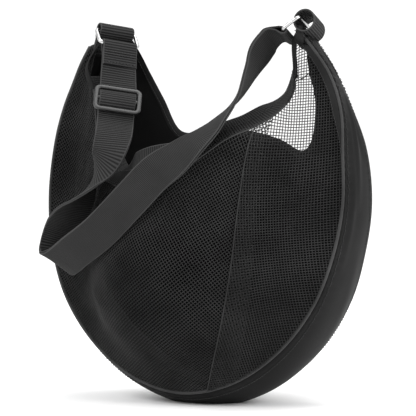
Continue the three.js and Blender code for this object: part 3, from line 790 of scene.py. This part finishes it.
def webbing_rings(points, sides, ribs, width=WEBBING_WIDTH, thickness=WEBBING_THICKNESS,
        closed=False):
    """Rings of a ribbed band round a middle line; ribs is (pitch, height) for each point."""
    along = unit(np.gradient(points, axis=0))
    if closed:
        along = unit(np.roll(points, -1, axis=0) - np.roll(points, 1, axis=0))
    side = square_to(sides, along)
    normal = np.cross(along, side)
    steps = np.linalg.norm(np.diff(points, axis=0), axis=1)
    run = np.concatenate([[0], np.cumsum(steps)])
    turns = np.concatenate([[0], np.cumsum(steps / ribs[1:, 0])])
    if closed:
        turns *= round(turns[-1] + 1) / (turns[-1] + turns[1])
    rib = (0.5 - 0.5 * np.cos(2 * math.pi * turns)) ** 0.8 * ribs[:, 1]
    body = np.where(np.abs(SECTION) < 0.93, 1.0, 0.0)
    bead = 0.18 * np.exp(-(((np.abs(SECTION) - 0.955) / 0.02) ** 2))
    half = np.full(len(SECTION), thickness / 2 - 0.12)
    half[0] = half[-1] = 0.15
    half[1] = half[-2] = thickness / 2 - 0.25
    tall = half[None, :] + bead[None, :] + rib[:, None] * body[None, :] - ribs[:,
        1:2] * 0.5 * body[None, :]
    flat = points[:, None] + side[:, None] * (SECTION * width / 2)[None, :, None]
    top = flat + normal[:, None] * tall[..., None]
    bottom = flat - normal[:, None] * tall[..., None]
    rings = np.concatenate([top, bottom[:, ::-1]], axis=1)
    u = turns[:, None] * np.ones(rings.shape[1])
    v = np.concatenate([SECTION, SECTION[::-1]])[None, :] * width / 20 * np.ones((len(points), 1))
    return rings, np.stack([u, v], axis=-1).reshape(-1, 2)


def webbing(name, points, sides, ribs, nodes=(), width=WEBBING_WIDTH, closed=False,
        thickness=WEBBING_THICKNESS):
    rings, uvs = webbing_rings(points, sides, ribs, width, thickness, closed)
    made = piece(name, rings.reshape(-1, 3), ring_faces(len(rings), rings.shape[1], closed),
        WEBBING, uvs)
    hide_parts(*nodes)
    return made


def resample(points, sides, step):
    """Both tables read at even steps along a smooth curve through the points."""
    line, aims = Curve(points), Curve(sides)
    count = int(line.length / step)
    u = np.linspace(0, 1, count + 1)
    return line.at_length(u), unit(aims.at(line.param(u))), u * line.length


COARSE = (2.7, 0.5)
FINE = (1.55, 0.2)


def even_ribs(count, kind=COARSE):
    return np.tile(np.array(kind, float), (count, 1))


def strap_stations(u, shift):
    """Points of one ply of the strap, shifted along its face, with their sides."""
    u = np.asarray(u, float)
    points = strap_curve.at_length(u)
    along = strap_curve.tangent(u)
    side = square_to(strap_across.at(strap_curve.param(u)), along)
    normal = np.cross(along, side)
    return points + normal * np.asarray(shift)[..., None], side, normal


FOLD_AT = 0.452
PLY = 0.95


def ply_gap(u):
    """How far the second ply lies behind the first one."""
    at_fold = 1.9 * np.exp(-(((u - 0.46) / 0.07) ** 2))
    near_ring = 0.7 * np.exp(-(((u - 0.72) / 0.1) ** 2))
    return 2 * PLY + at_fold + near_ring


def wrap_points(origin, out, normal, table):
    return [origin + a * out + b * normal for a, b in table]


def coarse_to_fine(run, start, end):
    """Rib sizes that turn from coarse to fine between two lengths along a ply."""
    fade = smooth(run, start, end)[:, None]
    return np.array(COARSE) * (1 - fade) + np.array(FINE) * fade


# The left length: sewn end on the ring, through the slider, down to the fold.
route_start, _, start_normal = (x[0] for x in strap_stations([0.0], [0.0]))
left_out = square_to(route_start - left_ring["low"], left_ring["side"])
left_normal = np.cross(left_out, left_ring["side"])
if left_normal @ start_normal < 0:
    left_normal = -left_normal
wrap = wrap_points(left_ring["low"], left_out, left_normal, [
    (24, 2.2), (19, 2.15), (12, 2.15), (6, 2.7), (1.5, 3.2), (-1.9, 2.6), (-3.3, 0), (-1.9, -2.6),
    (2, -3.0), (8, -1.4), (15, -0.3),
])
u = np.linspace(0.012, FOLD_AT, 46)
route, route_sides, _ = strap_stations(u, PLY * smooth(u, 0.06, 0.14))
points, sides, run = resample(
    np.vstack([wrap, route]), np.vstack([np.tile(left_ring["side"], (len(wrap), 1)), route_sides]),
        0.5)
ribs = coarse_to_fine(run, 330, 360)
ply_one, uv_one = webbing_rings(points, sides, ribs)

u = np.linspace(0.062, FOLD_AT, 46)
route, route_sides, _ = strap_stations(u, PLY * smooth(u, 0.06, 0.14) - ply_gap(u))
points, sides, run = resample(route, route_sides, 0.5)
ribs = coarse_to_fine(run, 280, 310)
ply_two, uv_two = webbing_rings(points, sides, ribs)
corners = ply_one.shape[1]
left_strap = piece(
    "strap_left_length",
    np.vstack([ply_one.reshape(-1, 3), ply_two.reshape(-1, 3)]),
    ring_faces(len(ply_one), corners) + ring_faces(len(ply_two), corners,
        offset=ply_one.shape[0] * corners),
    WEBBING, np.vstack([uv_one, uv_two]))
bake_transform(left_strap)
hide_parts("strap_left_end_fold", "strap_upper_run", "strap_outer_run")

# The right length: from the fold to the right ring, round its bar and back.
end_point, _, end_normal = (x[0] for x in strap_stations([1.0], [0.0]))
right_out = square_to(end_point - right_ring["low"], right_ring["side"])
right_normal = np.cross(right_ring["side"], right_out)
if right_normal @ end_normal < 0:
    right_normal = -right_normal
wrap = wrap_points(right_ring["low"], right_out, right_normal, [
    (8, 1.9), (2, 3.1), (-1.9, 2.6), (-3.3, 0), (-1.9, -2.6), (2, -3.1), (8, -1.9),
])
u = np.linspace(FOLD_AT, 0.985, 60)
there, there_sides, _ = strap_stations(u, np.full(len(u), PLY))
back_again, back_sides, _ = strap_stations(u[::-1], PLY - ply_gap(u[::-1]))
points, sides, run = resample(
    np.vstack([there, wrap, back_again]),
    np.vstack([there_sides, np.tile(right_ring["side"], (len(wrap), 1)), back_sides]), 0.42)
right_strap = webbing("strap_right_length", points, sides, even_ribs(len(points), FINE),
                      ("strap_lower_run", "strap_right_turn", "strap_outer_run"))
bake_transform(right_strap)

# Rows of stitching through the sewn end.
lines = []
for a in (9.5, 12.5, 21.5):
    middle = left_ring["low"] + a * left_out + left_normal * (2.2 + WEBBING_THICKNESS / 2)
    reach = np.linspace(-17.5, 17.5, 12)[:, None]
    lines.append((middle + reach * left_ring["side"], left_normal))
made = stitches("left_fold_stitches", lines, "left_ring", radius=0.4)


# ---- mouth band --------------------------------------------------------------
def mouth_stations(t, lift):
    """Middle of the band standing on the net's edge, with its across direction."""
    along = front_mouth.tangent(t)
    across = square_to(mouth_aims.at(front_mouth.param(t)), along)
    return front_mouth.at_length(t) + across * lift, across, along


def settle(points, rounds):
    """Evens out a line of points without moving its ends."""
    for _ in range(rounds):
        points[1:-1] = 0.25 * points[:-2] + 0.5 * points[1:-1] + 0.25 * points[2:]
    return points


t = np.linspace(0.1, 0.925, 60)
_, across, _ = mouth_stations(t, 0)
across = unit(settle(across.copy(), 12))
near = front_mouth.at_length(t)
middle = near + square_to(across, front_mouth.tangent(t)) * (WEBBING_WIDTH / 2 - 0.5)
points, sides, _ = resample(middle, across, 0.55)
band = webbing("mouth_band_webbing", points, sides, even_ribs(len(points)), ("mouth_band",))
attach(band, "bag")

along = unit(np.gradient(points, axis=0))
side = square_to(sides, along)
normal = np.cross(along, side)
lines = []
for share, face in ((0.0, 1), (0.0, -1), (-0.86, 1), (-0.86, -1)):
    stitch_lift = WEBBING_THICKNESS / 2 + 0.05
    line = points + side * share * WEBBING_WIDTH / 2 + normal * face * stitch_lift
    lines.append((line[::6], (normal * face)[::6]))
made = stitches("mouth_band_stitches", lines, "bag", radius=0.3)

# ---- back mouth hem ----------------------------------------------------------
rim = back_grid[:, -1]
inner_row = back_grid[:, -8]
outward = unit(rim - inner_row)
pick = np.arange(3, len(rim) - 3)
rail = settle(rim[pick].copy(), 4) - outward[pick] * 3.5
rings = tube_rings(rail, outward[pick], 4.6, 1.5, 14)
ends = 0.35 + 0.65 * np.sin(math.pi * np.linspace(0, 1, len(rail)))[:, None, None] ** 0.35
rings = rail[:, None] + (rings - rail[:, None]) * ends
hem = piece("back_mouth_hem", rings.reshape(-1, 3), ring_faces(len(rings), 14), TRIM)
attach(hem, "bag")
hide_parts("back_mouth_binding")
normals = np.cross(unit(np.gradient(rail, axis=0)),
    square_to(outward[pick], unit(np.gradient(rail, axis=0))))
lines = [(rail - outward[pick] * 2.0 + normals * f * 1.5, normals * f) for f in (1, -1)]
made = stitches("back_hem_stitches", lines, "bag", radius=0.3)

# ---- net hem and darts -------------------------------------------------------
made = cord("right_net_hem", settle(right_grid[0].copy(), 6), UP, 0.7, NET)
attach(made, "bag")
for name, start, end in (("left_net_edge_tape", 0.004, 0.13), ("right_net_edge_tape", 0.9, 0.992)):
    u = np.linspace(start, end, 90)
    edge = front_mouth.at_length(u)
    inward = unit(front_seam.at_length(u) - edge)
    rings = tube_rings(edge + inward * 1.6, inward, 2.8, 0.9, 12)
    made = piece(name, rings.reshape(-1, 3), ring_faces(len(rings), 12), TRIM)
    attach(made, "bag")

# A smooth tape covers the seam on the right horn and runs out below it.
low_row, high_row = int(0.855 * rows), int(0.995 * rows)
strip = []
for i in range(low_row, high_row):
    line = front_grid[i]
    steps = np.concatenate([[0], np.cumsum(np.linalg.norm(np.diff(line, axis=0), axis=1))])
    wide = min(8.5, steps[-1] * 0.5) * smooth((i - low_row) / (high_row - low_row), 0.0, 0.35)
    gaps = np.linspace(1.4, 1.4 + max(wide, 0.4), 7)
    strip.append(np.stack([np.interp(gaps, steps, line[:, k]) for k in range(3)], axis=-1))
strip = np.stack(strip)
made = shell("right_horn_tape", strip, 0.8, TRIM, lift=FRONT_OUT * 1.3)
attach(made, "bag")
tape_out = grid_normals(strip)[:, -2] * FRONT_OUT
made = stitches("right_horn_tape_stitches", [(strip[:, -2] + tape_out * 1.75, tape_out)], "bag",
    radius=0.3)

dart_rows = np.linspace(0.9, 0.945, 40) * (rows - 1)
dart_columns = np.linspace(0.93, 0.32, 40) * (columns - 1)
dart = np.array([front_grid[int(round(i)), int(round(j))] for i,
    j in zip(dart_rows, dart_columns)])
made = cord("net_dart_seam", settle(dart, 12) + np.array([0, -0.8, 0]), UP, 0.6, NET)
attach(made, "bag")


# ---- rings -------------------------------------------------------------------
def rounded_loop(width, height, radius, steps=14):
    """Points of a rounded rectangle, as pairs."""
    x, y = width / 2 - radius, height / 2 - radius
    points = []
    for (cx, cy), first in zip(((x, y), (-x, y), (-x, -y), (x, -y)), (0, 90, 180, 270)):
        for k in range(steps + 1):
            angle = math.radians(first + 90 * k / steps)
            points.append((cx + radius * math.cos(angle), cy + radius * math.sin(angle)))
    dense = []
    for k, a in enumerate(points):
        b = points[(k + 1) % len(points)]
        parts = max(1, int(math.dist(a, b) / 2))
        dense.extend((a[0] + (b[0] - a[0]) * m / parts,
            a[1] + (b[1] - a[1]) * m / parts) for m in range(parts))
    return np.array(dense)


for name, ring, body in (("left_ring_wire", left_ring, "left_ring"),
        ("right_ring_wire", right_ring, "right_ring")):
    centre = (ring["top"] + ring["low"]) / 2
    loop = rounded_loop(RING_SPAN - RING_WIRE, RING_HEIGHT - RING_WIRE, 4.5)
    line = centre + loop[:, :1] * ring["side"] + loop[:, 1:] * ring["down"]
    face = np.cross(ring["side"], ring["down"])
    rings, faces = closed_tube(line, face, RING_WIRE / 2, RING_WIRE / 2, 14)
    made = piece(name, rings.reshape(-1, 3), faces, STEEL)
    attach(made, body)
    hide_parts(body)

# ---- slider ------------------------------------------------------------------
at, across, normal = (x[0] for x in strap_stations([SLIDER_AT], [0.0]))
along = strap_curve.tangent([SLIDER_AT])[0]
WRAP_LIFT = WEBBING_THICKNESS / 2 + 0.4 + WEBBING_THICKNESS
SLIDER_LIFT = WRAP_LIFT + 0.4 + SLIDER_THICKNESS / 2 + WEBBING_THICKNESS / 2
centre = at + normal * SLIDER_LIFT
loop = rounded_loop(SLIDER_SPAN - SLIDER_BAR, SLIDER_HEIGHT - SLIDER_BAR, 4.5)
line = centre + loop[:, :1] * across + loop[:, 1:] * along
doubled = np.vstack([line[-1:], line, line[:1]])
tangent = unit(np.gradient(doubled, axis=0))[1:-1]
inward = np.cross(tangent, np.broadcast_to(normal, tangent.shape))
angle = np.linspace(0, 2 * math.pi, 16, endpoint=False)
squircle = (np.sign(np.cos(angle)) * np.abs(np.cos(angle)) ** 0.6,
            np.sign(np.sin(angle)) * np.abs(np.sin(angle)) ** 0.6)
frame_rings = (line[:, None] + inward[:, None] * (SLIDER_BAR / 2 * squircle[0])[None, :, None]
               + normal * (SLIDER_THICKNESS / 2 * squircle[1])[None, :, None])
frame_faces = ring_faces(len(frame_rings), 16, closed=True)
reach = np.linspace(-1, 1, 24)[:, None] * (SLIDER_SPAN / 2 - SLIDER_BAR * 0.7)
bar_line = centre + reach * across
bar_rings = tube_rings(bar_line, along, SLIDER_BAR / 2, SLIDER_THICKNESS / 2 * 0.85, 16)
bar_faces = ring_faces(len(bar_rings), 16, offset=frame_rings.shape[0] * 16)
made = piece("slider_casting", np.vstack([frame_rings.reshape(-1, 3), bar_rings.reshape(-1, 3)]),
             frame_faces + bar_faces, BLACK_METAL)
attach(made, "slider")
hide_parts("slider_frame")

half = SLIDER_HEIGHT / 2 - SLIDER_BAR - 0.6
high = SLIDER_THICKNESS / 2 + 0.4 + WEBBING_THICKNESS / 2
reach = np.linspace(-1, 1, 21)
rise = high + 0.6 - (high + SLIDER_THICKNESS / 2 + 2.0) * np.abs(reach) ** 3
points = centre + reach[:, None] * half * along + rise[:, None] * normal
points, sides, _ = resample(points, np.tile(across, (21, 1)), 0.45)
made = webbing("strap_over_slider", points, sides, even_ribs(len(points)),
    ("strap_over_slider_bar",),
               width=WEBBING_WIDTH - 0.6)
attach(made, "slider")


# ---- horn loops and tabs -----------------------------------------------------
def horn_tip(end):
    front, back = front_seam.at_length(end)[0], back_seam.at_length(end)[0]
    beside = abs(end - 0.03)
    inner = (front_seam.at_length(beside)[0] + back_seam.at_length(beside)[0]) / 2
    tip = (front + back) / 2
    across = back - front
    return tip, across, square_to(tip - inner, unit(across))


left_tip, left_across, left_horn_out = horn_tip(0.0)
right_tip, right_across, _ = horn_tip(1.0)

TAIL_INSET = 5.8
ring_to_tail = left_tip - left_horn_out * TAIL_INSET - left_ring["top"]
tail = square_to(ring_to_tail, left_ring["side"])
tail_length = abs(ring_to_tail @ tail)
loop_normal = np.cross(left_ring["side"], tail)
wrap = wrap_points(left_ring["top"], tail, loop_normal, [
    (tail_length + 7, 1.0), (tail_length, 1.0), (tail_length * 0.7, 1.3), (7, 3.6), (2.6, 5.5),
        (-2.4, 5.5),
    (-5.7, 2.6), (-5.7, -2.6), (-2.4, -5.5), (2.6, -5.5), (7, -3.6), (tail_length * 0.7, -1.3),
    (tail_length, -1.0), (tail_length + 7, -1.0),
])
points, sides, _ = resample(np.array(wrap), np.tile(left_ring["side"], (len(wrap), 1)), 0.5)
made = webbing("left_horn_webbing", points, sides, even_ribs(len(points)), ("left_horn_loop",))
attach(made, "bag")

right_up = square_to(UP, right_ring["side"])
right_sideways = -np.cross(right_up, right_ring["side"])
shift = (right_ring["top"] - right_tip) @ right_ring["side"]
slack_middle = right_tip + right_ring["side"] * shift
angle = np.linspace(0, 2 * math.pi, 260, endpoint=False) - math.pi / 2
wide = SLACK_LOOP["half_long"] - WEBBING_THICKNESS / 2
tall = SLACK_LOOP["half_tall"] - WEBBING_THICKNESS / 2
points = (slack_middle
          + (SLACK_LOOP["out"] + wide * np.cos(angle))[:, None] * right_sideways
          + (SLACK_LOOP["up"] + tall * np.sin(angle))[:, None] * right_up)
made = webbing("right_horn_webbing", points, np.tile(right_ring["side"], (len(points), 1)),
               even_ribs(len(points)), ("right_horn_loop",), closed=True)
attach(made, "bag")


def tab(name, middle, across, out, width, tall, thick, node):
    """A sewn reinforcement: a soft rounded pad round the end of a horn."""
    across, out = unit(across), unit(out)
    normal = np.cross(across, out)
    rows_, corners_ = 18, 28
    angle = np.linspace(0, 2 * math.pi, corners_, endpoint=False)
    ring_x = np.sign(np.cos(angle)) * np.abs(np.cos(angle)) ** 0.45
    ring_y = np.sign(np.sin(angle)) * np.abs(np.sin(angle)) ** 0.7
    rings = []
    for k in range(rows_):
        h = -1 + 2 * k / (rows_ - 1)
        swell = (1 - abs(h) ** 5) ** 0.5 * 0.55 + 0.45
        rings.append(middle + out * h * tall / 2 + (ring_x * swell * width / 2)[:, None] * across
                     + (ring_y * swell * thick / 2)[:, None] * normal)
    made = piece(name, np.vstack(rings), ring_faces(rows_, corners_), TRIM)
    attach(made, "bag")
    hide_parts(node)
    lines = []
    for h in (-0.25, 0.35):
        for face in (1, -1):
            reach = np.linspace(-0.44, 0.44, 10)[:, None] * width
            stitch_row = middle + out * h * tall / 2 + reach * across + normal * face * thick * 0.5
            lines.append((stitch_row, normal * face))
    made = stitches(name + "_stitches", lines, "bag", radius=0.35)


tab("left_horn_patch", left_tip - left_horn_out * 11, left_across, left_horn_out,
    np.linalg.norm(left_across) + 6, 14, 8, "left_horn_tab")
tab("right_horn_patch", slack_middle - right_up * 8, right_ring["side"], right_up,
    np.linalg.norm(right_across) + 6, 19, 9.5, "right_horn_tab")


# ---- floor, light and camera -------------------------------------------------
floor_mesh = bpy.data.meshes.new("floor")
floor_mesh.from_pydata([(-6, -6, 0), (6, -6, 0), (6, 6, 0), (-6, 6, 0)], [], [(0, 1, 2, 3)])
floor = bpy.data.objects.new("floor", floor_mesh)
bpy.context.scene.collection.objects.link(floor)
floor_shader = Shader("pale_floor", Roughness=0.6, Specular_IOR_Level=0.2)
floor_shader.colours(floor_shader.noise(6, 3), grey(0.9), grey(0.93))
floor_mesh.materials.append(floor_shader.material)

world = bpy.data.worlds.new("studio")
bpy.context.scene.world = world
world.use_nodes = True
world.node_tree.nodes["Background"].inputs["Color"].default_value = (1, 1, 1, 1)
world.node_tree.nodes["Background"].inputs["Strength"].default_value = 1.15


def area_light(name, place, target, power, size):
    data = bpy.data.lights.new(name, "AREA")
    data.energy = power
    data.size = size
    obj = bpy.data.objects.new(name, data)
    obj.location = place
    obj.rotation_euler = (Vector(target) - Vector(place)).to_track_quat("-Z", "Y").to_euler()
    bpy.context.scene.collection.objects.link(obj)


area_light("key_light", (-0.6, -1.6, 1.5), (0, 0, 0.2), 22, 1.0)
area_light("side_light", (1.7, 0.1, 0.9), (0, 0, 0.2), 20, 0.9)
area_light("top_light", (0.1, 0.3, 1.9), (0, 0, 0.25), 16, 1.2)

AZIMUTH, ELEVATION, DISTANCE = math.radians(30), math.radians(5), 6.0
target = Vector((0.0, 0.0, 0.199))
camera_data = bpy.data.cameras.new("camera")
camera_data.lens = 504.5
camera_data.sensor_width = 36
camera = bpy.data.objects.new("camera", camera_data)
camera.location = target + DISTANCE * Vector((
    math.sin(AZIMUTH) * math.cos(ELEVATION), -math.cos(AZIMUTH) * math.cos(ELEVATION),
        math.sin(ELEVATION)))
camera.rotation_euler = (target - camera.location).to_track_quat("-Z", "Y").to_euler()
bpy.context.scene.collection.objects.link(camera)
bpy.context.scene.camera = camera
bpy.context.scene.view_settings.view_transform = "Standard"
